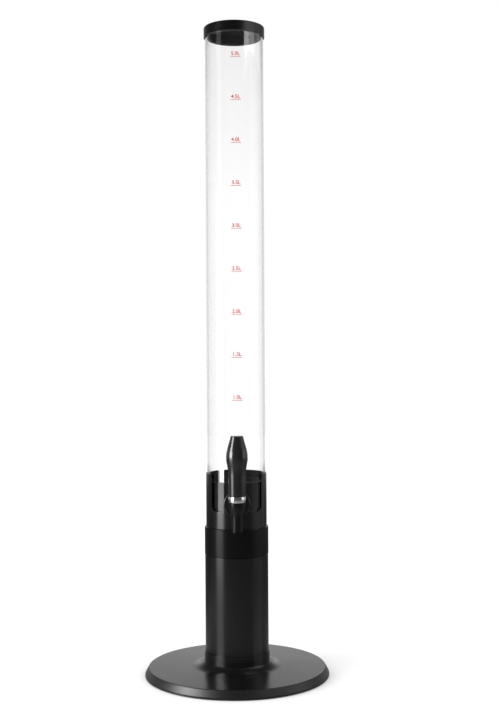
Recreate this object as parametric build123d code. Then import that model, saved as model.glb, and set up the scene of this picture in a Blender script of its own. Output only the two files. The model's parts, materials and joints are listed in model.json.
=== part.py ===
from build123d import *
from math import cos, pi, radians, sin, tan
import os

# Table beer tower: a clear tube with a tap at its foot stands in a sleeve on a column and a weighted base.
# Millimetres. +Z is up, the floor is z = 0, the tower's axis is the Z axis, and the tap faces -Y.

# Clearances
slide_gap = 0.3       # between pieces that lift or tip apart
seat_gap = 0.05       # between pieces that are fixed to each other
run_fit = 0.08        # radial play of the sliding stem and the turning pin

# Clear tube
tube_d = 100.0
tube_wall = 3.0
tube_len = 845.0

# Lid
lid_wall = 1.9
lid_top_t = 2.0
lid_round = 2.4
lid_skirt_h = 14.9
lid_plug_h = 14.5
lid_plug_wall = 2.2

# Sleeve round the foot of the tube
sleeve_wall = 1.6
sleeve_rise = 91.0
sleeve_depth = 28.0
window_angle = 107.4
window_corner = 10.0
window_margin = 2.0
tab_corner = 4.0
slot_w = 10.0
slot_depth = 46.0
slot_angle = 31.0

# Coupling ring
ring_h = 48.0
ring_lip = 2.65
ring_bevel = 1.3
pedestal_w = 4.2
pedestal_rise = 1.0
spigot_len = 25.0
cushion_t = 2.9

# Column
column_h = 182.0
column_wall = 3.0
column_step = 0.45
column_bevel = 0.6
column_foot_h = 22.0
column_foot_wall = 3.0
column_foot_floor = 5.0
column_screw_inset = 14.75
column_screw_d = 4.0
column_screw_len = 14.0
column_screw_head_d = 8.0
column_screw_head_h = 2.6
column_screw_count = 4
column_boss_d = 10.0

# Base
base_d = 315.0
foot_h = 1.5
shell_wall = 3.0
rim_edge = 0.5
rim_slope = 6.0
rim_round = 1.6
dome_rise = 1.5
hub_rise = 8.5
hub_flare = 20.0
hub_ledge = 1.8
collar_h = 16.5
collar_wall = 1.5
collar_gap = 0.15
cover_t = 2.0
cover_gap = 0.2
ballast_t = 6.0
ballast_room = 2.5
ballast_margin = 4.0
ballast_hole_d = 100.0
fastener_inset = 12.0
cover_boss_d = 10.0
cover_screw_d = 4.0
cover_screw_len = 8.5
cover_screw_head_d = 7.6
cover_screw_count = 4
foot_d = 18.0
foot_stem_d = 6.0
foot_barb = 1.0
foot_barb_t = 1.2
foot_count = 4

# Plug in the foot of the tube
plug_fit = 0.2
plug_flange_t = 2.6
plug_head = 35.0
plug_wall = 4.0
plug_lip = 3.5
plug_bevel = 1.0
plug_floor_t = 3.0
plug_sump = 1.5
notch_depth = 12.0
notch_margin = 3.5
boss_wall = 4.0
boss_len = 13.0
boss_step = 2.5
plug_seal_wire = 2.0
plug_seal_rise = 8.0

# Tap shank, flange and gaskets
tap_rise = 36.0
shank_d = 16.0
shank_bore_d = 9.5
shank_grip = 10.0
shank_seal_t = 2.0
hole_gap = 0.25
gasket_ring = 5.0
flange_d = 45.0
flange_t = 4.0
flange_round = 2.2
flange_gap = 1.0

# Tap body and valve
barrel_wall = 3.5
barrel_len = 11.5
chamber_d = 18.0
body_wall = 5.0
body_skirt = 3.0
taper_drop = 19.0
seat_drop = 7.0
shoulder_rise = 6.7
neck_wall = 2.0
neck_h = 5.5
spout_bore_d = 12.0
spout_wall = 3.0
spout_len = 24.0
spout_bevel = 0.6
bonnet_wall = 3.35
bonnet_top_t = 4.7
bonnet_bevel = 0.7
bonnet_crown = 0.7
stem_d = 8.0
stem_foot_rim = 1.4
stem_foot_t = 1.5
stem_seal_wire = 2.0
gland_t = 1.2
cup_h = 6.0
cup_skin = 2.0
cup_play = 0.8
cup_bevel = 0.6
spring_wire_d = 1.1
spring_turns = 3.5

# Handle
handle_base_d = 28.0
handle_neck_d = 28.8
handle_full_d = 36.0
handle_top_d = 20.7
handle_neck_h = 34.0
handle_swell_h = 29.3
handle_crown_h = 35.5
handle_round = 0.8
handle_tilt = 25.0
pin_d = 4.0
pin_rise = 8.0
pin_inset = 1.2
pocket_play = 0.7

# Radii that follow from the tube outwards
tube_r = tube_d / 2
tube_in = tube_r - tube_wall
plug_r = tube_in - plug_fit
plug_in = plug_r - plug_lip
sleeve_in = tube_r + slide_gap
sleeve_r = sleeve_in + sleeve_wall
ring_r = sleeve_r + seat_gap + ring_lip
pedestal_r = sleeve_in - seat_gap
ring_in = pedestal_r - pedestal_w
column_r = ring_r - column_step
column_in = column_r - column_wall
column_screw_r = column_in - column_screw_inset
collar_in = column_r + collar_gap
collar_r = collar_in + collar_wall
base_r = base_d / 2
fastener_r = base_r - rim_slope - shell_wall - fastener_inset
ballast_r = fastener_r - max(cover_boss_d / 2, foot_stem_d / 2 + foot_barb) - ballast_margin

# Heights that follow from the floor upwards
cover_top = foot_h + cover_t
ballast_top = cover_top + seat_gap + ballast_t
rim_z = ballast_top + ballast_room + shell_wall
dome_z = rim_z + dome_rise
hub_z = dome_z + hub_rise
hub_floor = hub_z - shell_wall
column_z = hub_z + seat_gap
column_top = column_z + column_h
ring_z = column_top + seat_gap
ring_top = ring_z + ring_h
sleeve_z = ring_top - sleeve_depth
sleeve_top = ring_top + sleeve_rise
cushion_z = ring_top + pedestal_rise + seat_gap
cushion_top = cushion_z + cushion_t
plug_z = cushion_top + slide_gap
tube_z = plug_z + plug_flange_t + seat_gap
tube_top = tube_z + tube_len
tap_z = tube_z + tap_rise
plug_top = tap_z + plug_head
notch_z = plug_top - notch_depth
plug_seal_z = tube_z + plug_seal_rise

# Tap places, with distances counted forwards from the tower's axis
shank_r = shank_d / 2
shank_bore = shank_bore_d / 2
boss_back = plug_in - boss_len
shank_back = boss_back + boss_step + shank_seal_t + 2 * seat_gap
gasket_r = shank_r + gasket_ring
flange_back = sleeve_r + flange_gap
flange_front = flange_back + flange_t
barrel_back = flange_front + seat_gap
shank_front = barrel_back + shank_grip
chamber_r = chamber_d / 2
body_r = chamber_r + body_wall
barrel_r = shank_r + barrel_wall
tap_reach = barrel_back + barrel_len + body_r
window_sill = tap_z - gasket_r - window_margin

# Valve heights on the tap's own axis
shoulder_z = tap_z + shoulder_rise
taper_top = shoulder_z - body_skirt
taper_z = tap_z - taper_drop
seat_z = tap_z - seat_drop
spout_r = spout_bore_d / 2 + spout_wall
spout_bore = spout_bore_d / 2
spout_z = taper_z - spout_len
neck_r = chamber_r + neck_wall
neck_top = shoulder_z + neck_h
bonnet_in = neck_r + seat_gap
bonnet_r = bonnet_in + bonnet_wall
bonnet_z = shoulder_z + seat_gap
bonnet_under = neck_top + seat_gap
bonnet_top = bonnet_under + bonnet_top_t
stem_r = stem_d / 2
gland_top = bonnet_under - seat_gap
gland_z = gland_top - gland_t
cup_z = seat_z + slide_gap
cup_top = cup_z + cup_h
cup_r = chamber_r - cup_play
stem_z = cup_z + cup_skin
handle_z = bonnet_top + slide_gap
pin_z = handle_z + pin_rise
pin_r = pin_d / 2


def turned(*outline):
    """Solid of revolution about Z, from (radius, height) corners."""
    corners = [(r, 0, z) for r, z in outline]
    return revolve(make_face(Polyline(*corners, close=True)), Axis.Z)


def turned_edges(*edges):
    """Solid of revolution about Z, from edges drawn in the XZ plane."""
    return revolve(make_face(edges), Axis.Z)


def hoop(r_in, r_out, z_low, z_high):
    """Plain ring or tube wall about Z."""
    return turned((r_in, z_low), (r_out, z_low), (r_out, z_high), (r_in, z_high))


def rod(r, z_low, z_high):
    """Upright cylinder on the Z axis."""
    return turned((0, z_low), (r, z_low), (r, z_high), (0, z_high))


def o_ring(mean_r, wire_d, z_mid):
    """Torus about Z."""
    return Pos(0, 0, z_mid) * Torus(mean_r, wire_d / 2)


def forward_rod(r, near, far, z):
    """Level cylinder from the distance near to the distance far in front of the tower's axis."""
    upright = Cylinder(r, far - near, align=(Align.CENTER, Align.CENTER, Align.MIN))
    return Pos(0, -near, z) * Rot(90, 0, 0) * upright


def backward_box(width, near, far, z_low, z_high):
    """Box from the distance near to the distance far behind the tower's axis."""
    block = Box(width, far - near, z_high - z_low, align=(Align.CENTER, Align.MIN, Align.MIN))
    return Pos(0, near, z_low) * block


def on_tap(shape):
    """Moves a shape made about Z to the tap's own axis."""
    return Pos(0, -tap_reach, 0) * shape


def around(shape, radius, count, first_angle):
    """Copies of a shape made about Z, spread evenly on a circle."""
    step = 360 / count
    spots = [Rot(0, 0, first_angle + step * i) * Pos(radius, 0, 0) for i in range(count)]
    return [spot * shape for spot in spots]


def edge_points(*points):
    """Straight edges through (radius, height) points in the XZ plane."""
    return Polyline(*[(r, 0, z) for r, z in points])


# Places of the fasteners: screws and feet take turns on one circle
screw_start = 0.0
foot_start = 180.0 / foot_count


def make_base_shell():
    """Dished disc with a bevelled rim, a hub and a socket collar, open underneath, with screw bosses."""
    hub_r = collar_r + hub_ledge
    hub_foot_r = hub_r + hub_flare
    bevel_z = cover_top + rim_edge
    inner_r = base_r - shell_wall
    outer_hub = TangentArc((hub_foot_r, 0, dome_z), (hub_r, 0, hub_z), tangent=(-1, 0, 0))
    inner_hub = TangentArc(
        (hub_foot_r, 0, dome_z - shell_wall), (hub_r, 0, hub_floor), tangent=(-1, 0, 0))
    rim_r = base_r - rim_slope
    outside = edge_points((base_r, foot_h), (base_r, bevel_z), (rim_r, rim_z), (hub_foot_r, dome_z))
    socket = edge_points(
        (hub_r, hub_z), (collar_r, hub_z), (collar_r, hub_z + collar_h), (collar_in, hub_z + collar_h),
        (collar_in, hub_z), (0, hub_z), (0, hub_floor), (hub_r, hub_floor))
    inside = edge_points(
        (hub_foot_r, dome_z - shell_wall), (inner_r - rim_slope, rim_z - shell_wall), (inner_r, bevel_z),
        (inner_r, foot_h), (base_r, foot_h))
    shell = turned_edges(outside, outer_hub, socket, inner_hub, inside)
    rims = shell.edges().filter_by(GeomType.CIRCLE)
    top_rim = rims.sort_by(lambda e: abs(e.radius - rim_r) + abs(e.arc_center.Z - rim_z))[0]
    shell = fillet(top_rim, rim_round)
    boss = rod(cover_boss_d / 2, cover_top + seat_gap, rim_z - shell_wall / 2)
    shell += around(boss, fastener_r, cover_screw_count, screw_start)
    pilot = rod(cover_screw_d / 2 + seat_gap, cover_top, foot_h + cover_screw_len + seat_gap)
    shell -= around(pilot, fastener_r, cover_screw_count, screw_start)
    passage = rod(column_screw_d / 2 + hole_gap, hub_floor - shell_wall, hub_z + shell_wall)
    shell -= around(passage, column_screw_r, column_screw_count, screw_start)
    return shell


def make_base_cover():
    """Flat disc that closes the base, with countersunk screw holes and holes for the feet."""
    cover = rod(base_r - shell_wall - cover_gap, foot_h, cover_top)
    head_r = cover_screw_head_d / 2 + seat_gap
    shaft_r = cover_screw_d / 2 + seat_gap
    head_h = (cover_screw_head_d - cover_screw_d) / 2
    sink = turned(
        (0, foot_h), (head_r, foot_h), (shaft_r, foot_h + head_h), (shaft_r, cover_top), (0, cover_top))
    cover -= around(sink, fastener_r, cover_screw_count, screw_start)
    cover -= around(rod(foot_stem_d / 2, foot_h, cover_top), fastener_r, foot_count, foot_start)
    return cover


def make_cover_screws():
    """Countersunk screws, flush with the cover."""
    head_r = cover_screw_head_d / 2
    shaft_r = cover_screw_d / 2
    tip_z = foot_h + cover_screw_len
    head_h = head_r - shaft_r
    screw = turned((0, foot_h), (head_r, foot_h), (shaft_r, foot_h + head_h), (shaft_r, tip_z), (0, tip_z))
    return around(screw, fastener_r, cover_screw_count, screw_start)


def make_rubber_feet():
    """Push-in feet: a pad, a stem through the cover and a barb above it."""
    pad_r = foot_d / 2
    stem = foot_stem_d / 2 - seat_gap
    barb_r = foot_stem_d / 2 + foot_barb
    barb_z = cover_top + seat_gap
    pad_top = foot_h - seat_gap
    foot = turned(
        (0, 0), (pad_r, 0), (pad_r, pad_top), (stem, pad_top), (stem, barb_z),
        (barb_r, barb_z), (stem, barb_z + foot_barb_t), (0, barb_z + foot_barb_t))
    return around(foot, fastener_r, foot_count, foot_start)


def make_ballast_plate():
    """Steel ring that lies on the cover."""
    return hoop(ballast_hole_d / 2, ballast_r, cover_top + seat_gap, ballast_top)


def make_column_foot():
    """Cup glued into the column's lower end, with bosses for the screws from below."""
    outer = column_in - seat_gap
    wall_in = outer - column_foot_wall
    floor_top = column_z + column_foot_floor
    cup = turned(
        (0, column_z), (outer, column_z), (outer, column_z + column_foot_h),
        (wall_in, column_z + column_foot_h), (wall_in, floor_top), (0, floor_top))
    tip_z = hub_floor + column_screw_len
    boss = rod(column_boss_d / 2, column_z, tip_z + column_foot_wall)
    cup += around(boss, column_screw_r, column_screw_count, screw_start)
    pilot = rod(column_screw_d / 2 + seat_gap, column_z, tip_z + seat_gap)
    cup -= around(pilot, column_screw_r, column_screw_count, screw_start)
    return cup


def make_column_screws():
    """Pan-head screws from under the hub into the column foot."""
    head_z = hub_floor - seat_gap
    shaft_r = column_screw_d / 2
    head_r = column_screw_head_d / 2
    tip_z = hub_floor + column_screw_len
    screw = turned(
        (0, head_z - column_screw_head_h), (head_r, head_z - column_screw_head_h), (head_r, head_z),
        (shaft_r, head_z), (shaft_r, tip_z), (0, tip_z))
    return around(screw, column_screw_r, column_screw_count, screw_start)


def make_column_tube():
    """Plain column with a small bevel at the seam under the ring."""
    return turned(
        (column_in, column_z), (column_r, column_z), (column_r, column_top - column_bevel),
        (column_r - column_bevel, column_top), (column_in, column_top))


def make_coupling_ring():
    """Ring that plugs into the column and holds the sleeve in a groove round a pedestal for the tube."""
    spigot_r = column_in - seat_gap
    groove_r = sleeve_r + seat_gap
    groove_z = sleeve_z - seat_gap
    pedestal_top = ring_top + pedestal_rise
    return turned(
        (ring_in, ring_z - spigot_len), (spigot_r, ring_z - spigot_len), (spigot_r, ring_z),
        (ring_r - column_bevel, ring_z), (ring_r, ring_z + column_bevel), (ring_r, ring_top - ring_bevel),
        (ring_r - ring_bevel, ring_top), (groove_r, ring_top), (groove_r, groove_z),
        (pedestal_r, groove_z), (pedestal_r, pedestal_top), (ring_in, pedestal_top))


def make_sleeve():
    """Thin tube with a U-shaped window at the front, open at the top, and one narrow slot at the back."""
    sleeve = hoop(sleeve_in, sleeve_r, sleeve_z, sleeve_top)
    half_w = sleeve_r * sin(radians(window_angle / 2))
    right = window_side(half_w)
    outline = right + mirror(right, Plane.YZ)
    outline += Line((half_w - window_corner, 0, window_sill), (window_corner - half_w, 0, window_sill))
    mouth_w = half_w + tab_corner
    mouth_z = sleeve_top + tab_corner
    outline += Line((mouth_w, 0, mouth_z), (-mouth_w, 0, mouth_z))
    sleeve -= extrude(make_face(outline.edges()), amount=2 * sleeve_r, dir=(0, -1, 0))
    slot = backward_box(slot_w, 0, 2 * sleeve_r, sleeve_top - slot_depth, sleeve_top + slot_depth)
    slot = fillet(slot.edges().filter_by(Axis.Y).group_by(Axis.Z)[0], slot_w / 2 - seat_gap)
    return sleeve - Rot(0, 0, slot_angle) * slot


def window_side(half_w):
    """Right-hand edge of the window: a rounded tab corner, a straight side and a rounded lower corner."""
    slant = cos(radians(45))
    tab_x = half_w + tab_corner
    tab_z = sleeve_top - tab_corner
    tab_mid = (tab_x - tab_corner * slant, 0, tab_z + tab_corner * slant)
    low_x = half_w - window_corner
    low_z = window_sill + window_corner
    low_mid = (low_x + window_corner * slant, 0, low_z - window_corner * slant)
    side = Line((tab_x, 0, sleeve_top + tab_corner), (tab_x, 0, sleeve_top))
    side += ThreePointArc((tab_x, 0, sleeve_top), tab_mid, (half_w, 0, tab_z))
    side += Line((half_w, 0, tab_z), (half_w, 0, low_z))
    return side + ThreePointArc((half_w, 0, low_z), low_mid, (low_x, 0, window_sill))


def make_tube_cushion():
    """Rubber ring on the pedestal, under the tube's plug."""
    return hoop(ring_in, pedestal_r, cushion_z, cushion_top)


def make_tube():
    """Clear tube with a hole for the tap's shank."""
    wall = hoop(tube_in, tube_r, tube_z, tube_top)
    return wall - forward_rod(shank_r + hole_gap, tube_in / 2, 2 * tube_r, tap_z)


def make_lid():
    """Push-on lid: a skirt outside the tube and a hollow plug inside it."""
    under = tube_top + slide_gap
    skirt_in = tube_r + slide_gap
    skirt_r = skirt_in + lid_wall
    ring_out = tube_in - slide_gap
    hollow_r = ring_out - lid_plug_wall
    lid = turned(
        (0, under), (hollow_r, under), (hollow_r, tube_top - lid_plug_h), (ring_out, tube_top - lid_plug_h),
        (ring_out, under), (skirt_in, under), (skirt_in, tube_top - lid_skirt_h),
        (skirt_r, tube_top - lid_skirt_h), (skirt_r, under + lid_top_t), (0, under + lid_top_t))
    top_edge = lid.edges().filter_by(GeomType.CIRCLE).group_by(Axis.Z)[-1]
    return fillet(top_edge, lid_round)


def make_tube_plug():
    """Moulded cup in the tube's foot, with a flange under the tube, a hollow skirt, a notch and a shank boss."""
    skirt_in = plug_r - plug_wall
    floor_z = tap_z - shank_bore - plug_sump
    plug = turned(
        (skirt_in, plug_z), (tube_r, plug_z), (tube_r, plug_z + plug_flange_t),
        (plug_r, plug_z + plug_flange_t), (plug_r, plug_top - plug_bevel), (plug_r - plug_bevel, plug_top),
        (plug_in, plug_top), (plug_in, floor_z), (0, floor_z), (0, floor_z - plug_floor_t),
        (skirt_in, floor_z - plug_floor_t))
    notch_w = slot_w + 2 * notch_margin
    notch = backward_box(notch_w, plug_in - 2 * plug_lip, tube_r, notch_z, plug_top + notch_depth)
    plug -= Rot(0, 0, slot_angle) * notch
    plug += forward_rod(shank_r + boss_wall, boss_back, plug_r - plug_lip / 2, tap_z)
    plug -= forward_rod(shank_bore, 0, shank_back, tap_z)
    plug -= forward_rod(shank_r + seat_gap, boss_back + boss_step, tube_r, tap_z)
    half_groove = plug_seal_wire / 2 + 2 * seat_gap
    groove_in = tube_in - plug_seal_wire - 2 * seat_gap
    return plug - hoop(groove_in, tube_r, plug_seal_z - half_groove, plug_seal_z + half_groove)


def make_plug_seal():
    """O-ring in the plug's groove, against the tube."""
    return o_ring(tube_in - seat_gap - plug_seal_wire / 2, plug_seal_wire, plug_seal_z)


def make_tap_shank():
    """Pipe from the plug's boss through the tube's wall into the tap."""
    pipe = forward_rod(shank_r, shank_back, shank_front, tap_z)
    return pipe - forward_rod(shank_bore, 0, 2 * shank_front, tap_z)


def make_shank_seal():
    """Washer between the shank's inner end and the step in the boss."""
    front = shank_back - seat_gap
    washer = forward_rod(shank_r, front - shank_seal_t, front, tap_z)
    return washer - forward_rod(shank_bore, 0, shank_front, tap_z)


def make_saddle_gasket():
    """Soft pad with a flat front and a back that follows the tube."""
    pad = forward_rod(gasket_r, tube_in, flange_back - seat_gap, tap_z)
    pad -= rod(tube_r + seat_gap, tap_z - 2 * gasket_r, tap_z + 2 * gasket_r)
    return pad - forward_rod(shank_r + seat_gap, 0, shank_front, tap_z)


def make_tap_flange():
    """Round disc behind the tap, with a rounded front edge."""
    disc = forward_rod(flange_d / 2, flange_back, flange_front, tap_z)
    disc = fillet(disc.edges().group_by(Axis.Y)[0], flange_round)
    return disc - forward_rod(shank_r + seat_gap, 0, shank_front, tap_z)


def make_tap_body():
    """Upright valve chamber that narrows into the spout, with a level barrel for the shank."""
    half_taper = (taper_top - taper_z) / 2
    taper = Bezier(
        (body_r, 0, taper_top), (body_r, 0, taper_top - half_taper),
        (spout_r, 0, taper_z + half_taper), (spout_r, 0, taper_z))
    below = edge_points(
        (spout_r, taper_z), (spout_r, spout_z + spout_bevel), (spout_r - spout_bevel, spout_z),
        (spout_bore, spout_z), (spout_bore, seat_z), (chamber_r, seat_z))
    above = edge_points(
        (chamber_r, seat_z), (chamber_r, neck_top), (neck_r, neck_top), (neck_r, shoulder_z),
        (body_r, shoulder_z), (body_r, taper_top))
    body = on_tap(turned_edges(taper, below, above))
    barrel = forward_rod(barrel_r, barrel_back, tap_reach, tap_z)
    barrel -= on_tap(rod(bonnet_r + slide_gap, shoulder_z, tap_z + 2 * barrel_r))
    barrel -= on_tap(rod(chamber_r + body_wall / 2, tap_z - 2 * barrel_r, tap_z + 2 * barrel_r))
    body += barrel
    body -= forward_rod(shank_bore, barrel_back, tap_reach, tap_z)
    return body - forward_rod(shank_r + seat_gap, barrel_back, shank_front + seat_gap, tap_z)


def make_bonnet():
    """Bright crowned screw cap on the body's neck, with the stem's hole and a recess for its seal."""
    hole_r = stem_r + run_fit
    recess_r = hole_r + stem_seal_wire + 2 * seat_gap
    recess_top = bonnet_under + stem_seal_wire + 2 * seat_gap
    edge_r = bonnet_r - bonnet_crown
    edge_z = bonnet_top - bonnet_bevel
    crown = ThreePointArc((edge_r, 0, bonnet_z), (bonnet_r, 0, (bonnet_z + edge_z) / 2), (edge_r, 0, edge_z))
    rest = edge_points(
        (edge_r, edge_z), (edge_r - bonnet_bevel, bonnet_top), (hole_r, bonnet_top), (hole_r, recess_top),
        (recess_r, recess_top), (recess_r, bonnet_under), (bonnet_in, bonnet_under), (bonnet_in, bonnet_z),
        (edge_r, bonnet_z))
    return on_tap(turned_edges(crown, rest))


def make_stem_seal():
    """O-ring round the stem, in the bonnet's recess."""
    wire_r = stem_seal_wire / 2
    return on_tap(o_ring(stem_r + run_fit + wire_r, stem_seal_wire, bonnet_under + seat_gap + wire_r))


def make_gland_washer():
    """Washer under the bonnet that keeps the seal in and takes the spring."""
    return on_tap(hoop(stem_r + run_fit, chamber_r - seat_gap, gland_z, gland_top))


def make_return_spring():
    """Coil spring between the seat cup and the gland washer."""
    wire_r = spring_wire_d / 2
    mean_r = (stem_r + chamber_r) / 2
    low = cup_top + slide_gap + wire_r
    high = gland_z - seat_gap - wire_r
    path = Pos(0, 0, low) * Helix((high - low) / spring_turns, high - low, mean_r)
    section = Plane(path @ 0, z_dir=path % 0) * Circle(wire_r)
    return on_tap(sweep(section, path))


def make_valve_stem():
    """Stem with a foot for the seat cup and a round top with the pin's hole."""
    foot_r = stem_r + stem_foot_rim
    foot_top = stem_z + stem_foot_t
    top = ThreePointArc(
        (stem_r, 0, pin_z), (stem_r * cos(pi / 4), 0, pin_z + stem_r * sin(pi / 4)), (0, 0, pin_z + stem_r))
    rest = edge_points(
        (0, pin_z + stem_r), (0, stem_z), (foot_r, stem_z), (foot_r, foot_top), (stem_r, foot_top),
        (stem_r, pin_z))
    stem = turned_edges(top, rest)
    return on_tap(stem - pin_rod(pin_r + run_fit, 2 * stem_d))


def pin_rod(r, length):
    """Level cylinder along X at the pin's height, about the tap's axis."""
    return Pos(0, 0, pin_z) * Rot(0, 90, 0) * Cylinder(r, length)


def make_seat_cup():
    """Soft cup stretched over the stem's foot, with a flat face that closes the outlet."""
    foot_r = stem_r + stem_foot_rim + seat_gap
    foot_top = stem_z + stem_foot_t + seat_gap
    pocket_z = stem_z - seat_gap
    return on_tap(turned(
        (0, cup_z), (cup_r - cup_bevel, cup_z), (cup_r, cup_z + cup_bevel), (cup_r, cup_top),
        (stem_r + seat_gap, cup_top), (stem_r + seat_gap, foot_top), (foot_r, foot_top),
        (foot_r, pocket_z), (0, pocket_z)))


def make_handle():
    """Turned handle: a straight neck, a swelling and a flat-topped crown, hollow round the stem's top."""
    neck_z = handle_z + handle_neck_h
    full_z = neck_z + handle_swell_h
    top_z = full_z + handle_crown_h
    base = handle_base_d / 2
    neck = handle_neck_d / 2
    full = handle_full_d / 2
    crown = handle_top_d / 2
    swell_pull = 0.45 * handle_swell_h
    full_pull = 0.33 * handle_swell_h
    crown_pull = 0.36 * handle_crown_h
    swell = Bezier(
        (neck, 0, neck_z), (neck, 0, neck_z + swell_pull), (full, 0, full_z - full_pull), (full, 0, full_z))
    round_off = Bezier(
        (full, 0, full_z), (full, 0, full_z + crown_pull), (crown + crown_pull / 5, 0, top_z - crown_pull),
        (crown, 0, top_z))
    rest = edge_points((crown, top_z), (0, top_z), (0, handle_z), (base, handle_z), (neck, neck_z))
    handle = turned_edges(swell, round_off, rest)
    rims = handle.edges().filter_by(GeomType.CIRCLE)
    handle = fillet([rims.sort_by(Axis.Z)[0], rims.sort_by(Axis.Z)[-1]], handle_round)
    tilt = radians(handle_tilt)
    pocket_r = stem_r / cos(tilt) + pin_rise * tan(tilt) + pocket_play
    pocket_top = pin_z + stem_r + 2 * pocket_play
    handle -= rod(pocket_r, handle_z, pocket_top)
    return on_tap(handle - pin_rod(pin_r + seat_gap, handle_full_d))


def make_handle_pin():
    """Pin across the handle, through the stem's top."""
    return on_tap(pin_rod(pin_r, handle_base_d - 2 * pin_inset))


pieces = {
    "base_shell": make_base_shell(),
    "base_cover": make_base_cover(),
    "cover_screws": make_cover_screws(),
    "rubber_feet": make_rubber_feet(),
    "ballast_plate": make_ballast_plate(),
    "column_foot": make_column_foot(),
    "column_screws": make_column_screws(),
    "column_tube": make_column_tube(),
    "coupling_ring": make_coupling_ring(),
    "sleeve": make_sleeve(),
    "tube_cushion": make_tube_cushion(),
    "tube": make_tube(),
    "lid": make_lid(),
    "tube_plug": make_tube_plug(),
    "plug_seal": make_plug_seal(),
    "tap_shank": make_tap_shank(),
    "shank_seal": make_shank_seal(),
    "saddle_gasket": make_saddle_gasket(),
    "tap_flange": make_tap_flange(),
    "tap_body": make_tap_body(),
    "bonnet": make_bonnet(),
    "stem_seal": make_stem_seal(),
    "gland_washer": make_gland_washer(),
    "return_spring": make_return_spring(),
    "valve_stem": make_valve_stem(),
    "seat_cup": make_seat_cup(),
    "handle": make_handle(),
    "handle_pin": make_handle_pin(),
}

os.makedirs("parts", exist_ok=True)
for node, shape in pieces.items():
    if isinstance(shape, list):
        shape = Compound(children=shape)
    export_step(shape, f"parts/{node}.step")
print("tap axis", round(tap_reach, 2), "pin height", round(pin_z, 2), "spout end", round(spout_z, 2))
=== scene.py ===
"""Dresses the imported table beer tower: finishes on every piece, volume marks on the tube, camera and studio.

Metres. +Z is up, the floor is z = 0, the tower stands on the Z axis and its tap faces -Y.
"""

import json
from math import cos, radians, sin

import bmesh
import bpy
import numpy as np
from bpy.props import FloatProperty, FloatVectorProperty, IntProperty, PointerProperty
from mathutils import Matrix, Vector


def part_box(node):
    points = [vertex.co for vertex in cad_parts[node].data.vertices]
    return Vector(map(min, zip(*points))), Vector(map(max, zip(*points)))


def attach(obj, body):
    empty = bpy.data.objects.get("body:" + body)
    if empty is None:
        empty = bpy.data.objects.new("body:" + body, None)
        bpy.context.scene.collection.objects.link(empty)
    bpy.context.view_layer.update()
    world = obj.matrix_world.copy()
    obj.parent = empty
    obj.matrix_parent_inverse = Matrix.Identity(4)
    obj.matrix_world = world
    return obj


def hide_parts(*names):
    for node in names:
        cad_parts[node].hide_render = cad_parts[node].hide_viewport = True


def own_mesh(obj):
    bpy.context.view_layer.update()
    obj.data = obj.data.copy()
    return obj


bl_info = {
    "name": "Table beer tower",
    "version": (1, 0, 0),
    "blender": (4, 5, 0),
    "location": "3D View > Sidebar > Beer tower",
    "description": "Finishes, volume marks, camera and studio for the packed beer tower",
    "category": "Object",
}

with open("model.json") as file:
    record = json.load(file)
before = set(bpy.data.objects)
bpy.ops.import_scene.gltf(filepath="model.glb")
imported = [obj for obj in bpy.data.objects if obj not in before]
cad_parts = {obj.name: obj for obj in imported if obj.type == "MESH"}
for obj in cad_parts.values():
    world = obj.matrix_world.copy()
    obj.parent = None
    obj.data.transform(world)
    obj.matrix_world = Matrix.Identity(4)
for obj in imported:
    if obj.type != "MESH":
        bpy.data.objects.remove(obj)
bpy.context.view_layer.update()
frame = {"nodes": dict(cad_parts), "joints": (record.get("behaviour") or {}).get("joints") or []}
NODES = frame["nodes"]
TUBE_R, _, TUBE_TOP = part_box("tube")[1]    # the tube's outer radius and the height of its upper end
MM = 0.001


# Settings that a user would change

def length(name, description, default):
    """A length in metres with its name and description."""
    return FloatProperty(name=name, description=description, default=default, unit="LENGTH", precision=5)


def turn(name, description, degrees):
    """An angle with its name and description, its default given in degrees."""
    return FloatProperty(name=name, description=description, default=radians(degrees), unit="ROTATION")


def plain(name, description, default):
    """A bare number with its name and description."""
    return FloatProperty(name=name, description=description, default=default, precision=4)


def colour(name, description, red, green, blue):
    """A linear colour with its name and description."""
    return FloatVectorProperty(
        name=name, description=description, default=(red, green, blue), size=3, subtype="COLOR", min=0, max=1)


class TowerSizes(bpy.types.PropertyGroup):
    """Sizes of the volume marks, the return spring and the studio."""

    mark_count: IntProperty(name="Marks", description="Number of volume marks on the tube", default=9)
    first_mark: length("First mark", "Height of the lowest mark's underline above the floor", 471.0 * MM)
    mark_step: length("Mark step", "Height of half a litre in the tube", 72.0 * MM)
    digit_h: length("Digit height", "Height of the marks' digits", 6.6 * MM)
    digit_gap: length("Digit gap", "Gap between underline and digits", 1.8 * MM)
    line_w: length("Underline length", "Length of a mark's underline round the tube", 18.0 * MM)
    line_h: length("Underline height", "Height of a mark's underline", 0.8 * MM)
    mark_side: length("Mark side", "Distance of the marks to the right of the tube's front line", 1.5 * MM)
    ink_lift: length("Ink lift", "Distance of the ink's back from the tube", 0.10 * MM)
    ink_t: length("Ink thickness", "Thickness of the printed ink", 0.06 * MM)

    spring_wire: length("Spring wire", "Diameter of the return spring's wire", 1.1 * MM)
    spring_turns: plain("Spring turns", "Turns of the return spring", 3.5)

    camera_far: length("Camera distance", "Distance of the camera from the tower's axis", 1.956)
    camera_up: length("Camera height", "Height of the camera above the floor", 0.5432)
    camera_lens: plain("Lens", "Focal length in millimetres", 57.29)
    camera_round: turn("Camera azimuth", "Turn of the camera round the tower", -0.8)
    camera_yaw: turn("Camera yaw", "Turn of the camera to its right", 0.722)
    camera_roll: turn("Camera roll", "Roll of the camera", -0.31)
    floor_r: length("Floor radius", "Radius of the studio floor", 6.0)


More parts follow.
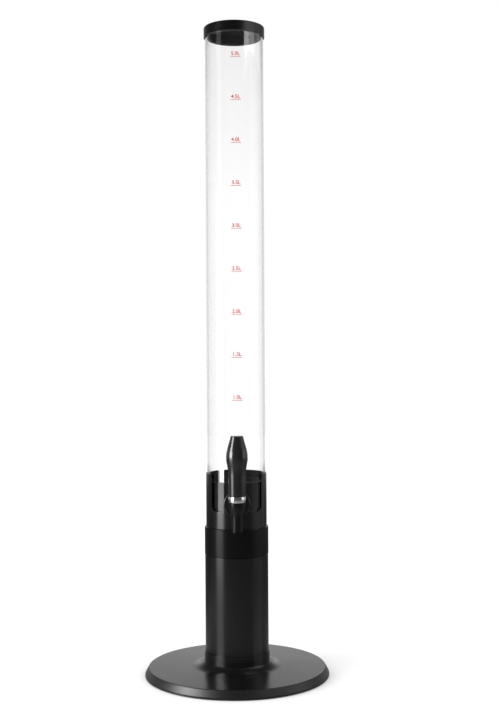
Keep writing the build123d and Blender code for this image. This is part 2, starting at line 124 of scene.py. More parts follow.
class TowerColours(bpy.types.PropertyGroup):
    """Colours of the finishes."""

    base_black: colour("Base", "Moulded base shell", 0.0024, 0.0024, 0.0027)
    column_black: colour("Column", "Satin column", 0.0012, 0.0012, 0.0013)
    ring_black: colour("Ring", "Satin coupling ring", 0.0016, 0.0016, 0.0018)
    sleeve_black: colour("Sleeve", "Polished sleeve", 0.0012, 0.0012, 0.0013)
    # Painted light: a paler colour for the sleeve's bore, which lifts the shade there
    sleeve_bore_painted_light: colour("Sleeve inside", "Unpolished bore of the sleeve", 0.045, 0.045, 0.046)
    lid_black: colour("Lid", "Soft satin lid", 0.0028, 0.0028, 0.0030)
    # Painted light: a paler colour for the lid's inside, seen through the tube, which lifts the shade there
    lid_inside_painted_light: colour("Lid inside", "Unpolished inside of the lid", 0.090, 0.090, 0.092)
    tap_black: colour("Tap", "Polished tap", 0.0035, 0.0035, 0.0040)
    handle_black: colour("Handle", "Polished handle", 0.0095, 0.0095, 0.0105)
    plug_black: colour("Plug", "Moulded plug and column foot", 0.0050, 0.0050, 0.0052)
    # Painted light: a paler colour for the cup inside the plug, which lifts the shade there
    plug_cup_painted_light: colour("Plug inside", "Unpolished cup of the plug", 0.060, 0.060, 0.062)
    cover_black: colour("Cover", "Grained sheet under the base", 0.012, 0.012, 0.012)
    rubber_black: colour("Rubber", "Feet, cushion and seals", 0.011, 0.011, 0.011)
    silicone: colour("Silicone", "Seat cup", 0.72, 0.72, 0.68)
    chrome: colour("Chrome", "Bonnet", 0.78, 0.79, 0.81)
    steel: colour("Stainless steel", "Shank, stem, pin, spring and screws", 0.56, 0.56, 0.57)
    primer: colour("Primer", "Ballast plate", 0.14, 0.14, 0.15)
    ink_red: colour("Ink", "Volume marks", 0.48, 0.045, 0.050)
    acrylic: colour("Acrylic", "Tint of the tube's body, which dims what is behind it", 0.50, 0.49, 0.49)


# Shader maths

class Value:
    """One output of a shader node. Arithmetic between values and numbers adds Math nodes."""

    def __init__(self, net, socket):
        self.net = net
        self.socket = socket

    def __add__(self, other):
        return self.net.math("ADD", self, other)

    def __sub__(self, other):
        return self.net.math("SUBTRACT", self, other)

    def __rsub__(self, other):
        return self.net.math("SUBTRACT", other, self)

    def __mul__(self, other):
        return self.net.math("MULTIPLY", self, other)

    def __truediv__(self, other):
        return self.net.math("DIVIDE", self, other)

    def __pow__(self, other):
        return self.net.math("POWER", self, other)

    __radd__ = __add__
    __rmul__ = __mul__


class Net:
    """A node tree that is filled by calls and by arithmetic on its values."""

    def __init__(self, tree):
        self.tree = tree

    def feed(self, socket, value):
        """Links a value to a socket, or sets the socket's own number, colour or vector."""
        if isinstance(value, Value):
            self.tree.links.new(value.socket, socket)
        else:
            socket.default_value = value

    def add(self, kind, settings=None, sockets=None, out=0):
        """Adds a node: its settings first, then the values or links of its sockets. Gives one output."""
        node = self.tree.nodes.new(kind)
        for key, setting in (settings or {}).items():
            setattr(node, key, setting)
        for key, value in (sockets or {}).items():
            self.feed(node.inputs[key], value)
        return Value(self, node.outputs[out])

    def math(self, operation, left, right):
        """One Math node."""
        return self.add("ShaderNodeMath", {"operation": operation}, {0: left, 1: right})

    def span(self, value, given, wanted):
        """Maps the range given, two numbers, to the range wanted, and stays inside it."""
        return self.add(
            "ShaderNodeMapRange", {"clamp": True},
            {"Value": value, "From Min": given[0], "From Max": given[1],
             "To Min": wanted[0], "To Max": wanted[1]})

    def noise(self, place, size, detail=3.0, roughness=0.55):
        """Noise whose features are about size metres across."""
        return self.add(
            "ShaderNodeTexNoise", None,
            {"Vector": place, "Scale": 1 / size, "Detail": detail, "Roughness": roughness}, "Fac")

    def blend(self, factor, first, second):
        """Colour between two colours, each a value or three numbers."""
        first, second = [tone if isinstance(tone, Value) else (*tone, 1) for tone in (first, second)]
        return self.add("ShaderNodeMix", {"data_type": "RGBA"}, {"Factor": factor, 6: first, 7: second}, 2)

    def axes(self, place):
        """The three coordinates of a place."""
        return [self.add("ShaderNodeSeparateXYZ", None, {0: place}, axis) for axis in "XYZ"]

    def bump(self, height, depth):
        """Normal of a height of 0..1 that stands for depth metres."""
        return self.add("ShaderNodeBump", None, {"Distance": depth, "Height": height})


class Finish(Net):
    """A material with a Principled surface."""

    def __init__(self, name):
        self.material = bpy.data.materials.new(name)
        self.material.use_nodes = True
        super().__init__(self.material.node_tree)
        self.surface = self.tree.nodes["Principled BSDF"]
        self.place = self.add("ShaderNodeTexCoord", None, None, "Object")

    def stretched(self, x, y, z):
        """Object coordinates scaled along each axis."""
        return self.add("ShaderNodeMapping", None, {"Vector": self.place, "Scale": (x, y, z)})

    def set(self, **sockets):
        """Feeds the surface's sockets, named with underscores for spaces."""
        for key, value in sockets.items():
            self.feed(self.surface.inputs[key.replace("_", " ")], value)

    def fed(self, socket):
        """The value that feeds one of the surface's sockets so far."""
        return Value(self, self.surface.inputs[socket].links[0].from_socket)

    def output(self, socket, value):
        """Feeds the material's own output."""
        self.feed(self.tree.nodes["Material Output"].inputs[socket], value)

    def radius(self):
        """Distance from the tower's axis."""
        x, y, _ = self.axes(self.place)
        return (x * x + y * y) ** 0.5

    def within(self, near, far):
        """1 up to one distance from the tower's axis, and 0 from another one on."""
        return self.span(self.radius(), (near, far), (1.0, 0.0))

    def paint_light(self, share, tone):
        """Paints light: blends the surface's colour towards a paler tone by a share of 0..1."""
        self.set(Base_Color=self.blend(share, self.fed("Base Color"), tone))

    def put(self, *names):
        """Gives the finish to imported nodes."""
        for name in names:
            for holder in NODES[name].material_slots:
                holder.material = self.material


def shade(tone, share):
    """A colour made darker or lighter."""
    return tuple(channel * share for channel in tone)


# Finishes

PATCH = 60 * MM             # width of the soft patches in a moulded surface
SPECK = 4 * MM              # width of the small ones
BEVEL_DULLER = 0.16         # how much rougher the base's bevel is than its disc
ACRYLIC_IOR = 1.49
ACRYLIC_DENSITY = 12.0      # how strongly the tube's body takes light
BARE_STEEL = (0.34, 0.33, 0.32)


def moulded_plastic(name, tone, gloss, patchy, grain, depth, shine):
    """Black moulded plastic: fine grain as bump, soft patches in the gloss and the colour.

    gloss is the middle roughness and patchy how far it strays, grain and depth are the grain's width and
    height, and shine is the specular level.
    """
    finish = Finish(name)
    fine = finish.noise(finish.place, grain, detail=4.0, roughness=0.6)
    patch = finish.noise(finish.place, PATCH)
    speck = finish.noise(finish.place, SPECK, detail=2.0)
    finish.set(
        Base_Color=finish.blend(patch, shade(tone, 0.7), shade(tone, 1.3)),
        Roughness=gloss + patchy * (patch - 0.5) + 0.5 * patchy * (speck - 0.5),
        Normal=finish.bump(fine, depth),
        Specular_IOR_Level=shine)
    return finish


def base_plastic(tone):
    """Satin disc, and a duller bevel round its rim."""
    finish = moulded_plastic(
        "base_plastic", tone, gloss=0.26, patchy=0.06, grain=0.9 * MM, depth=0.006 * MM, shine=0.60)
    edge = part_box("base_shell")[1].x
    bevel = 1 - finish.within(edge - 7 * MM, edge - 6 * MM)
    finish.set(Roughness=finish.fed("Roughness") + BEVEL_DULLER * bevel)
    return finish


def sleeve_plastic(tone, painted_light_tone):
    """Polished outside, and a bore painted paler: painted light that lifts the shade inside the sleeve."""
    finish = moulded_plastic(
        "sleeve_plastic", tone, gloss=0.21, patchy=0.05, grain=0.8 * MM, depth=0.005 * MM, shine=0.64)
    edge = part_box("sleeve")[1].x
    # Painted light: the bore inside the polished outside is blended towards the paler tone
    finish.paint_light(finish.within(edge - 1.2 * MM, edge - 0.6 * MM), painted_light_tone)
    return finish


def plug_plastic(tone, painted_light_tone):
    """Moulded outside, and the cup inside the plug's lip painted paler: painted light that lifts its shade."""
    finish = moulded_plastic(
        "plug_plastic", tone, gloss=0.30, patchy=0.06, grain=0.8 * MM, depth=0.01 * MM, shine=0.45)
    # Painted light: the cup inside the plug's lip is blended towards the paler tone
    finish.paint_light(finish.within(TUBE_R - 6.5 * MM, TUBE_R - 6.1 * MM), painted_light_tone)
    return finish


def lid_plastic(tone, painted_light_tone):
    """Satin outside, and an inside painted paler, which is what lies inside the tube and under the top:
    painted light that lifts the shade behind the tube.
    """
    finish = moulded_plastic(
        "lid_plastic", tone, gloss=0.34, patchy=0.06, grain=0.7 * MM, depth=0.01 * MM, shine=0.20)
    height = finish.axes(finish.place)[2]
    # Painted light: the inside under the top and within the tube is blended towards the paler tone
    under = finish.span(height, (TUBE_TOP + 0.5 * MM, TUBE_TOP + 1.0 * MM), (1.0, 0.0))
    finish.paint_light(under * finish.within(TUBE_R - 2 * MM, TUBE_R), painted_light_tone)
    return finish


def clear_acrylic(tint):
    """Clear extruded tube: faint draw lines along it, faint scuffs and a grey body."""
    finish = Finish("clear_acrylic_tube")
    draw = finish.noise(finish.stretched(1, 1, 0.02), 7 * MM, detail=2.0)
    scuff = finish.noise(finish.place, 45 * MM, detail=5.0, roughness=0.65)
    finish.set(
        Base_Color=finish.blend(scuff, (0.985, 0.985, 0.985), (1.0, 1.0, 1.0)),
        Roughness=finish.span(scuff, (0.45, 0.75), (0.0, 0.02)),
        Normal=finish.bump(draw, 0.001 * MM),
        IOR=ACRYLIC_IOR,
        Transmission_Weight=1.0)
    finish.output("Volume", finish.add(
        "ShaderNodeVolumeAbsorption", None, {"Color": (*tint, 1), "Density": ACRYLIC_DENSITY}))
    return finish


def bright_chrome(tone):
    """Chrome plating with faint polishing marks round the tap's axis."""
    finish = Finish("chrome_bonnet")
    lines = finish.noise(finish.stretched(1, 1, 14), 6 * MM)
    haze = finish.noise(finish.place, 9 * MM, detail=2.0)
    finish.set(
        Base_Color=finish.blend(haze, shade(tone, 0.94), tone),
        Metallic=1.0,
        Roughness=finish.span(haze, (0.3, 0.8), (0.19, 0.26)),
        Normal=finish.bump(lines, 0.004 * MM))
    return finish


def turned_steel(tone):
    """Plain stainless steel with fine tool marks and dull patches."""
    finish = Finish("turned_stainless")
    marks = finish.noise(finish.stretched(1, 1, 9), 2.5 * MM, detail=4.0)
    patch = finish.noise(finish.place, 12 * MM)
    finish.set(
        Base_Color=finish.blend(patch, shade(tone, 0.82), shade(tone, 1.1)),
        Metallic=1.0,
        Roughness=finish.span(marks, (0.2, 0.8), (0.20, 0.38)),
        Normal=finish.bump(marks, 0.01 * MM))
    return finish


def primed_steel(tone):
    """Rolled plate under a thin primer that has worn through in small spots."""
    finish = Finish("primed_ballast_plate")
    roll = finish.noise(finish.stretched(1, 0.08, 1), 5 * MM, detail=4.0)
    chips = finish.noise(finish.place, 8 * MM, detail=6.0, roughness=0.7)
    bare = finish.span(chips, (0.66, 0.70), (0.0, 1.0))
    finish.set(
        Base_Color=finish.blend(bare, tone, BARE_STEEL),
        Metallic=bare,
        Roughness=0.62 - 0.25 * bare + 0.1 * (roll - 0.5),
        Normal=finish.bump(roll, 0.03 * MM))
    return finish


def soft_rubber(tone):
    """Matt black rubber with a dusty bloom."""
    finish = Finish("soft_black_rubber")
    bloom = finish.noise(finish.place, 6 * MM, detail=5.0, roughness=0.65)
    fine = finish.noise(finish.place, 0.5 * MM, detail=2.0)
    finish.set(
        Base_Color=finish.blend(finish.span(bloom, (0.4, 0.75), (0.0, 1.0)), tone, shade(tone, 2.2)),
        Roughness=finish.span(bloom, (0.3, 0.8), (0.62, 0.82)),
        Normal=finish.bump(fine, 0.03 * MM))
    return finish


def milky_silicone(tone):
    """Soft milky silicone."""
    finish = Finish("milky_silicone")
    cloud = finish.noise(finish.place, 3 * MM)
    finish.set(
        Base_Color=finish.blend(cloud, shade(tone, 0.93), tone),
        Roughness=finish.span(cloud, (0.3, 0.7), (0.32, 0.45)),
        Normal=finish.bump(cloud, 0.01 * MM),
        Subsurface_Weight=0.25,
        Subsurface_Scale=1.5 * MM)
    return finish


def printed_ink(tone):
    """Screen-printed ink with small thin spots."""
    finish = Finish("printed_red_ink")
    thin = finish.noise(finish.place, 0.7 * MM)
    finish.set(
        Base_Color=finish.blend(thin, tone, shade(tone, 1.4)),
        Roughness=finish.span(thin, (0.3, 0.7), (0.35, 0.55)),
        Normal=finish.bump(thin, 0.01 * MM))
    return finish


# Surfaces

MERGE = 0.002 * MM          # points closer than this become one


def ring_quads(rings, sides):
    """Quads between neighbouring closed rings of points: point j of ring i has the number sides i + j."""
    i, j = np.meshgrid(np.arange(rings - 1), np.arange(sides), indexing="ij")
    k = (j + 1) % sides
    this, after = sides * i, sides * (i + 1)
    return np.stack((this + j, after + j, after + k, this + k), axis=-1).reshape(-1, 4)


def joined(name, shapes):
    """One object at the origin from pairs of points and faces, doubles merged and faces turned outwards."""
    mesh = bpy.data.meshes.new(name)
    starts = np.cumsum([0] + [len(points) for points, _ in shapes])
    faces = [face for (_, part), start in zip(shapes, starts) for face in (part + start).tolist()]
    mesh.from_pydata(np.vstack([points for points, _ in shapes]).tolist(), [], faces)
    shell = bmesh.new()
    shell.from_mesh(mesh)
    bmesh.ops.remove_doubles(shell, verts=shell.verts, dist=MERGE)
    bmesh.ops.recalc_face_normals(shell, faces=shell.faces)
    shell.to_mesh(mesh)
    shell.free()
    piece = bpy.data.objects.new(name, mesh)
    bpy.context.scene.collection.objects.link(piece)
    return piece


# Volume marks

FIRST_LITRES = 1.0          # what the lowest mark says
STEP_LITRES = 0.5           # how much more each next mark says
LINE_STATIONS = 16          # stations along an underline, which follows the tube's curve
WORDS_HALF = 0.5            # half of the words' thickness as they are drawn
WORDS_BOLDER = 0.02         # how much the words' strokes are widened as they are drawn


def roll_round(flat, radius):
    """Rolls a flat drawing onto the tube's front: x goes round, y goes up and z is the distance off the tube.

    angle = x / radius and point = ((radius + z) sin angle, -(radius + z) cos angle, y).
    """
    angle = flat[:, 0] / radius
    reach = radius + flat[:, 2]
    return np.column_stack((reach * np.sin(angle), -reach * np.cos(angle), flat[:, 1]))


def flat_bar(width, height, thick, stations):
    """Bar on the X axis: a rectangle carried along x, with both ends closed.

    Corner j at station i is (width (i / stations - 1/2), y_j, z_j). Gives points and quads.
    """
    corners = np.array([(0, 0), (height, 0), (height, thick), (0, thick)])
    points = np.empty((stations + 1, 4, 3))
    points[:, :, 0] = np.linspace(-width / 2, width / 2, stations + 1)[:, None]
    points[:, :, 1:] = corners
    last = 4 * stations
    ends = np.array([(0, 1, 2, 3), (last + 3, last + 2, last + 1, last)])
    return points.reshape(-1, 3), np.vstack((ring_quads(stations + 1, 4), ends))


def flat_words(words, height, thick):
    """Digits on the XY plane, centred on x = 0 and standing on y = 0, as points and triangles."""
    curve = bpy.data.curves.new("mark_words", "FONT")
    curve.body = words
    curve.align_x = "CENTER"
    curve.extrude = WORDS_HALF
    curve.offset = WORDS_BOLDER
    curve.resolution_u = 4
    holder = bpy.data.objects.new("mark_words", curve)
    bpy.context.scene.collection.objects.link(holder)
    mesh = bpy.data.meshes.new_from_object(holder.evaluated_get(bpy.context.evaluated_depsgraph_get()))
    mesh.calc_loop_triangles()
    points = np.empty(3 * len(mesh.vertices))
    mesh.vertices.foreach_get("co", points)
    corners = np.empty(3 * len(mesh.loop_triangles), np.int32)
    mesh.loop_triangles.foreach_get("vertices", corners)
    bpy.data.objects.remove(holder)
    bpy.data.curves.remove(curve)
    bpy.data.meshes.remove(mesh)
    points = points.reshape(-1, 3)
    points[:, :2] *= height / np.ptp(points[:, 1])
    points[:, 1] -= points[:, 1].min()
    points[:, 2] = (points[:, 2] + WORDS_HALF) * thick
    return points, corners.reshape(-1, 3)


# Return spring

def wound_wire(coil_r, wire_r, low, high, turns):
    """Round wire wound on the Z axis: the wire's circle carried along a helix, with both ends closed.

    At t in 0..1 the wire's middle is coil_r out + (0, 0, low + (high - low) t), where out is
    (cos a, sin a, 0) and a = 2 pi turns t. A point at angle u on the wire is
    middle + wire_r (out cos u + across sin u), and across is square to out and to the helix.
    """
    stations, sides = 128, 12
    t = np.linspace(0, 1, stations + 1)
    a = 2 * np.pi * turns * t
    zero = np.zeros_like(t)
    out = np.column_stack((np.cos(a), np.sin(a), zero))
    along = np.column_stack((-np.sin(a), np.cos(a), zero + (high - low) / (2 * np.pi * turns * coil_r)))
    across = np.cross(along / np.linalg.norm(along, axis=1)[:, None], out)
    middle = coil_r * out + np.column_stack((zero, zero, low + (high - low) * t))
    u = np.linspace(0, 2 * np.pi, sides, endpoint=False)[:, None]
    ring = out[:, None] * np.cos(u) + across[:, None] * np.sin(u)
    points = (middle[:, None] + wire_r * ring).reshape(-1, 3)
    end = np.arange(sides)[None]
    return [(points, ring_quads(stations + 1, sides)), (points[:sides], end), (points[-sides:], end)]


# Studio

SENSOR_W = 36                           # width of the camera's sensor in millimetres

ROOM_DIM = 0.05                         # brightness of the room on the tap's side, seen in reflections
BACKDROP_POWER = 4.0                    # how fast it brightens towards the back, level with the floor
CEILING_POWER = 20.0                    # the same higher up
CEILING_RISE = (0.22, 0.45)             # upward part of a direction over which one turns into the other
ROOM_DIFFUSE = 0.40                     # even light on dull surfaces

SEEN_THROUGH = 1.22                     # backdrop seen through the tube, to make up for its reflections
SEEN_THROUGH_HIGH = 1.08                # the same behind the tube's upper end
THROUGH_RISE = (0.14, 0.25)             # upward part of a direction over which one turns into the other

FLOOR_POWER = 14.0                      # how fast the floor near the tower brightens towards the back
FLOOR_DIM = 0.05                        # brightness of the floor near the tower, seen in reflections
FLOOR_FAR = (2.8, 4.0)                  # distances over which it turns into the backdrop
FLOOR_BACK = (0.0, 0.5)                 # distances behind the tower over which its gloss ends
FLOOR_GLOSS = (0.18, 0.8)               # its roughness in reflections, in front and behind
FLOOR_FRONT_TONE = (0.35, 0.35, 0.35)   # its colour there, in front
FLOOR_BACK_TONE = (0.08, 0.08, 0.08)    # the same behind
FLOOR_IOR = 1.45
FLOOR_GREY = 0.25                       # colour of the floor that takes the shadow
FLOOR_OWN = (0.78, 1.0)                 # its own light seen straight, beside the tower and further away
FLOOR_OPEN = (0.17, 0.42)               # distances between which it rises
FLOOR_THROUGH = 1.04                    # its own light seen through the tube, to which lamps add the rest
FLOOR_HORIZON = 1.12                    # the same far away, where it meets the backdrop
FLOOR_DEEP = (0.8, 3.0)                 # distances between which that rises
CONTACT = 0.10                          # reach of the soft contact shadow

# Lamps: name, azimuth in degrees, distance, lower and upper edge, width and radiance
LAMPS = (
    ("left_strip_foot", -63, 0.91, 0.01, 0.33, 0.42, 2.0),
    ("left_strip_low", -63, 0.90, 0.17, 0.33, 0.42, 2.4),
    ("left_strip_middle", -64, 0.90, 0.33, 0.62, 0.44, 14.0),
    ("left_strip_high", -67, 0.90, 0.62, 0.95, 0.32, 11.0),
    ("left_strip_top", -62, 0.90, 0.95, 1.55, 0.30, 0.9),
    ("right_softbox", 78, 1.35, 1.41, 2.20, 2.20, 1.0),
    ("right_softbox_middle", 62, 1.34, 1.41, 2.20, 1.10, 2.0),
    ("right_softbox_core", 49, 1.33, 1.41, 2.20, 0.45, 2.6),
    ("right_card_high", 80, 1.35, 0.80, 1.41, 0.95, 0.5),
    ("right_card", 80, 1.35, 0.22, 0.80, 0.95, 0.9),
    ("right_low_card", 95, 1.20, 0.02, 0.22, 1.60, 0.14),
)


def room(forward, power):
    """Brightness of the room by its direction: dim on the tap's side, white behind the tower."""
    return ROOM_DIM + (1 - ROOM_DIM) * ((forward + 1) * 0.5) ** power


def ray_kinds(net):
    """Three masks: camera rays, rays straight from the camera or through clear pieces, and dull bounces."""
    camera, glossy, dull = [
        net.add("ShaderNodeLightPath", None, None, name)
        for name in ("Is Camera Ray", "Glossy Depth", "Diffuse Depth")]
    straight = 1 - net.math("MINIMUM", glossy + dull, 1.0)
    return camera, straight, net.math("MINIMUM", dull, 1.0)


def make_world():
    """White for the camera and through the tube, and a room that is dim in front for reflections."""
    world = bpy.data.worlds.new("studio_room")
    bpy.context.scene.world = world
    world.use_nodes = True
    net = Net(world.node_tree)
    _, forward, upward = net.axes(net.add("ShaderNodeTexCoord", None, None, "Generated"))
    camera, straight, diffuse = ray_kinds(net)
    through = net.span(upward, THROUGH_RISE, (SEEN_THROUGH, SEEN_THROUGH_HIGH))
    power = net.span(upward, CEILING_RISE, (BACKDROP_POWER, CEILING_POWER))
    bounce = diffuse * ROOM_DIFFUSE + (1 - diffuse) * room(forward, power)
    light = camera + (straight - camera) * through + (1 - straight) * bounce
    background = world.node_tree.nodes["Background"]
    net.feed(background.inputs["Strength"], light)
    net.feed(background.inputs["Color"], (1, 1, 1, 1))


def make_floor(radius):
    """Pale round floor: rings of points at r = radius t^2, angle = 2 pi s."""
    rings, spokes = 24, 96
    r = radius * np.linspace(0, 1, rings + 1)[1:] ** 2
    angle = np.linspace(0, 2 * np.pi, spokes, endpoint=False)
    points = np.zeros((rings * spokes + 1, 3))
    points[1:, 0] = np.outer(r, np.cos(angle)).ravel()
    points[1:, 1] = np.outer(r, np.sin(angle)).ravel()
    spoke = np.arange(spokes)
    middle = np.stack((np.zeros(spokes, int), 1 + spoke, 1 + (spoke + 1) % spokes), axis=-1)
    mesh = bpy.data.meshes.new("studio_floor")
    mesh.from_pydata(points.tolist(), [], (1 + ring_quads(rings, spokes)).tolist() + middle.tolist())
    floor = bpy.data.objects.new("studio_floor", mesh)
    bpy.context.scene.collection.objects.link(floor)
    mesh.materials.append(floor_finish())


def floor_finish():
    """White but for a soft shadow where it is seen straight, and a dim glossy floor in reflections."""
    finish = Finish("studio_floor")
    reach = finish.radius()
    y = finish.axes(finish.place)[1]
    camera, straight, _ = ray_kinds(finish)
    finish.set(
        Base_Color=finish.blend(finish.span(y, FLOOR_BACK, (0.0, 1.0)), FLOOR_FRONT_TONE, FLOOR_BACK_TONE),
        Roughness=finish.span(y, FLOOR_BACK, FLOOR_GLOSS),
        IOR=FLOOR_IOR,
        Emission_Color=finish.span(reach, FLOOR_FAR, (FLOOR_DIM, 1.0)) * room(
            y / reach, finish.span(reach, FLOOR_FAR, (FLOOR_POWER, BACKDROP_POWER))),
        Emission_Strength=1.0)
    dull = finish.add("ShaderNodeBsdfDiffuse", None, {"Color": (FLOOR_GREY, FLOOR_GREY, FLOOR_GREY, 1)})
    open_sky = finish.add("ShaderNodeAmbientOcclusion", {"samples": 8}, {"Distance": CONTACT}, "AO")
    own = finish.span(reach, FLOOR_OPEN, FLOOR_OWN)
    through = finish.span(reach, FLOOR_DEEP, (FLOOR_THROUGH, FLOOR_HORIZON))
    glow = open_sky * (camera * own + (straight - camera) * through)
    white = finish.add("ShaderNodeEmission", None, {"Color": glow})
    seen = finish.add("ShaderNodeAddShader", None, {0: dull, 1: white})
    mirrored = Value(finish, finish.surface.outputs[0])
    finish.output("Surface", finish.add("ShaderNodeMixShader", None, {"Fac": straight, 1: mirrored, 2: seen}))
    return finish.material


def make_lamp(name, azimuth, distance, low, high, width, radiance):
    """Upright softbox that faces the tower, seen only in reflections and by its light.

    The azimuth goes from the camera's side to its right. The power is 4 times radiance times area.
    """
    lamp = bpy.data.lights.new(name, "AREA")
    lamp.shape = "RECTANGLE"
    lamp.size = width
    lamp.size_y = high - low
    lamp.energy = 4 * radiance * width * (high - low)
    holder = bpy.data.objects.new(name, lamp)
    bpy.context.scene.collection.objects.link(holder)
    out_x, out_y = sin(radians(azimuth)), -cos(radians(azimuth))
    holder.matrix_world = Matrix((
        (-out_y, 0, out_x, distance * out_x),
        (out_x, 0, out_y, distance * out_y),
        (0, 1, 0, (low + high) / 2),
        (0, 0, 0, 1)))
    holder.visible_camera = False
    holder.visible_transmission = False


def make_camera(sizes):
    """Camera at the photograph's place: round the tower, then back, with a small yaw and roll."""
    camera = bpy.data.cameras.new("photo_camera")
    camera.sensor_width = SENSOR_W
    camera.lens = sizes.camera_lens
    holder = bpy.data.objects.new("photo_camera", camera)
    bpy.context.scene.collection.objects.link(holder)
    back = Matrix.Translation((0, -sizes.camera_far, sizes.camera_up))
    place = Matrix.Rotation(sizes.camera_round, 4, "Z") @ back
    aim = Matrix.Rotation(-sizes.camera_yaw, 4, "Z") @ Matrix.Rotation(radians(90), 4, "X")
    holder.matrix_world = place @ aim @ Matrix.Rotation(sizes.camera_roll, 4, "Z")
    bpy.context.scene.camera = holder


# Operators

class TOWER_OT_stage(bpy.types.Operator):
    """Make the camera, the white room, the floor and the lamps"""

    bl_idname = "tower.stage"
    bl_label = "Studio and camera"

    def execute(self, context):
        sizes = context.scene.tower_sizes
        make_camera(sizes)
        make_world()
        make_floor(sizes.floor_r)
        for lamp in LAMPS:
            make_lamp(*lamp)
        context.scene.view_settings.view_transform = "Standard"
        return {"FINISHED"}


class TOWER_OT_stand(bpy.types.Operator):
    """Finish the base, the column, the ring and the sleeve"""

    bl_idname = "tower.stand"
    bl_label = "Stand"

    def execute(self, context):
        tones = context.scene.tower_colours
        base_plastic(tones.base_black).put("base_shell")
        moulded_plastic(
            "column_satin_plastic", tones.column_black,
            gloss=0.22, patchy=0.05, grain=0.7 * MM, depth=0.004 * MM, shine=0.55).put("column_tube")
        moulded_plastic(
            "ring_satin_plastic", tones.ring_black,
            gloss=0.24, patchy=0.05, grain=0.7 * MM, depth=0.004 * MM, shine=0.26).put("coupling_ring")
        sleeve_plastic(tones.sleeve_black, tones.sleeve_bore_painted_light).put("sleeve")
        moulded_plastic(
            "cover_grained_plastic", tones.cover_black,
            gloss=0.52, patchy=0.08, grain=1.2 * MM, depth=0.06 * MM, shine=0.3).put("base_cover")
        moulded_plastic(
            "foot_plastic", tones.plug_black,
            gloss=0.30, patchy=0.06, grain=0.8 * MM, depth=0.01 * MM, shine=0.45).put("column_foot")
        primed_steel(tones.primer).put("ballast_plate")
        return {"FINISHED"}


class TOWER_OT_vessel(bpy.types.Operator):
    """Finish the clear tube, its plug and its lid"""

    bl_idname = "tower.vessel"
    bl_label = "Tube, plug and lid"

    def execute(self, context):
        tones = context.scene.tower_colours
        clear_acrylic(tones.acrylic).put("tube")
        plug_plastic(tones.plug_black, tones.plug_cup_painted_light).put("tube_plug")
        lid_plastic(tones.lid_black, tones.lid_inside_painted_light).put("lid")
        return {"FINISHED"}


class TOWER_OT_tap(bpy.types.Operator):
    """Finish the tap, its handle and its bright ring"""

    bl_idname = "tower.tap"
    bl_label = "Tap"

    def execute(self, context):
        tones = context.scene.tower_colours
        moulded_plastic(
            "tap_gloss_plastic", tones.tap_black,
            gloss=0.24, patchy=0.04, grain=0.8 * MM, depth=0.003 * MM, shine=0.25).put("tap_body")
        moulded_plastic(
            "flange_satin_plastic", tones.tap_black,
            gloss=0.22, patchy=0.04, grain=0.8 * MM, depth=0.003 * MM, shine=0.5).put("tap_flange")
        moulded_plastic(
            "handle_gloss_plastic", tones.handle_black,
            gloss=0.20, patchy=0.04, grain=0.9 * MM, depth=0.002 * MM, shine=0.55).put("handle")
        bright_chrome(tones.chrome).put("bonnet")
        return {"FINISHED"}


class TOWER_OT_fittings(bpy.types.Operator):
    """Finish the steel fittings, the rubber pieces and the seat cup"""

    bl_idname = "tower.fittings"
    bl_label = "Fittings and seals"

    def execute(self, context):
        tones = context.scene.tower_colours
        turned_steel(tones.steel).put(
            "tap_shank", "valve_stem", "handle_pin", "return_spring", "gland_washer", "cover_screws",
            "column_screws")
        soft_rubber(tones.rubber_black).put(
            "rubber_feet", "tube_cushion", "saddle_gasket", "plug_seal", "shank_seal", "stem_seal")
        milky_silicone(tones.silicone).put("seat_cup")
        return {"FINISHED"}


class TOWER_OT_spring(bpy.types.Operator):
    """Wind the return spring in place of the imported one"""

    bl_idname = "tower.spring"
    bl_label = "Return spring"

    def execute(self, context):
        sizes = context.scene.tower_sizes
        low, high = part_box("return_spring")
        wire_r = sizes.spring_wire / 2
        coil_r = (high.x - low.x) / 2 - wire_r
        coil = wound_wire(coil_r, wire_r, low.z + wire_r, high.z - wire_r, sizes.spring_turns)
        axis = ((low.x + high.x) / 2, (low.y + high.y) / 2, 0)
        spring = joined("coiled_return_spring", [(points + axis, faces) for points, faces in coil])
        spring.data.shade_smooth()
        spring.data.materials.append(bpy.data.materials["turned_stainless"])
        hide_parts("return_spring")
        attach(spring, "vessel")
        lift = next(joint for joint in frame["joints"] if joint["name"] == "stem_lift")["range_m"][1]
        1 - lift / (high.z - low.z)
        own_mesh(spring)
        return {"FINISHED"}


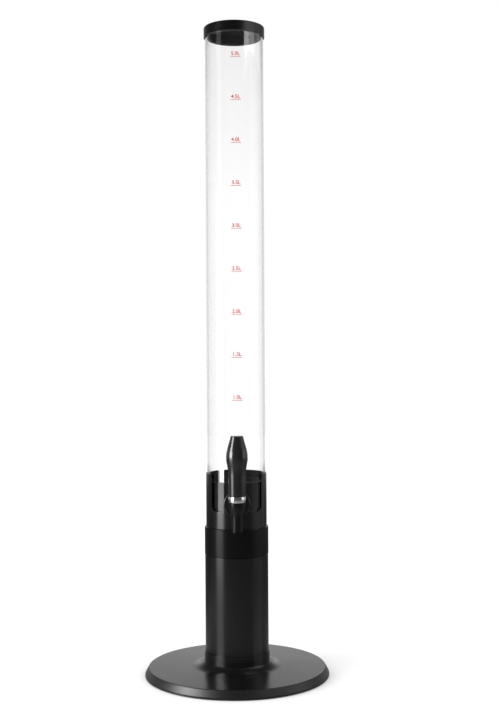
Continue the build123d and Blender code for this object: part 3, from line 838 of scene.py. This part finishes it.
class TOWER_OT_marks(bpy.types.Operator):
    """Print the volume marks on the front of the tube"""

    bl_idname = "tower.marks"
    bl_label = "Volume marks"

    def execute(self, context):
        sizes = context.scene.tower_sizes
        shapes = []
        for step in range(sizes.mark_count):
            low = sizes.first_mark + step * sizes.mark_step
            words = flat_words(f"{FIRST_LITRES + step * STEP_LITRES:.1f}L", sizes.digit_h, sizes.ink_t)
            line = flat_bar(sizes.line_w, sizes.line_h, sizes.ink_t, LINE_STATIONS)
            words[0][:, 1] += sizes.line_h + sizes.digit_gap
            for points, faces in (words, line):
                points += (sizes.mark_side, low, sizes.ink_lift)
                shapes.append((roll_round(points, TUBE_R), faces))
        marks = joined("volume_marks", shapes)
        marks.data.materials.append(printed_ink(context.scene.tower_colours.ink_red).material)
        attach(marks, "vessel")
        return {"FINISHED"}


OPERATORS = (
    TOWER_OT_stage, TOWER_OT_stand, TOWER_OT_vessel, TOWER_OT_tap, TOWER_OT_fittings, TOWER_OT_spring,
    TOWER_OT_marks)


class TOWER_PT_panel(bpy.types.Panel):
    """Lists the steps that dress the tower"""

    bl_idname = "TOWER_PT_panel"
    bl_label = "Beer tower"
    bl_space_type = "VIEW_3D"
    bl_region_type = "UI"
    bl_category = "Beer tower"

    def draw(self, context):
        for operator in OPERATORS:
            self.layout.operator(operator.bl_idname)


CLASSES = (TowerSizes, TowerColours, *OPERATORS, TOWER_PT_panel)


def register():
    for item in CLASSES:
        bpy.utils.register_class(item)
    bpy.types.Scene.tower_sizes = PointerProperty(type=TowerSizes)
    bpy.types.Scene.tower_colours = PointerProperty(type=TowerColours)


def unregister():
    del bpy.types.Scene.tower_colours
    del bpy.types.Scene.tower_sizes
    for item in reversed(CLASSES):
        bpy.utils.unregister_class(item)


def main():
    register()
    bpy.ops.tower.stage()
    bpy.ops.tower.stand()
    bpy.ops.tower.vessel()
    bpy.ops.tower.tap()
    bpy.ops.tower.fittings()
    bpy.ops.tower.spring()
    bpy.ops.tower.marks()


if __name__ == "__main__":
    main()
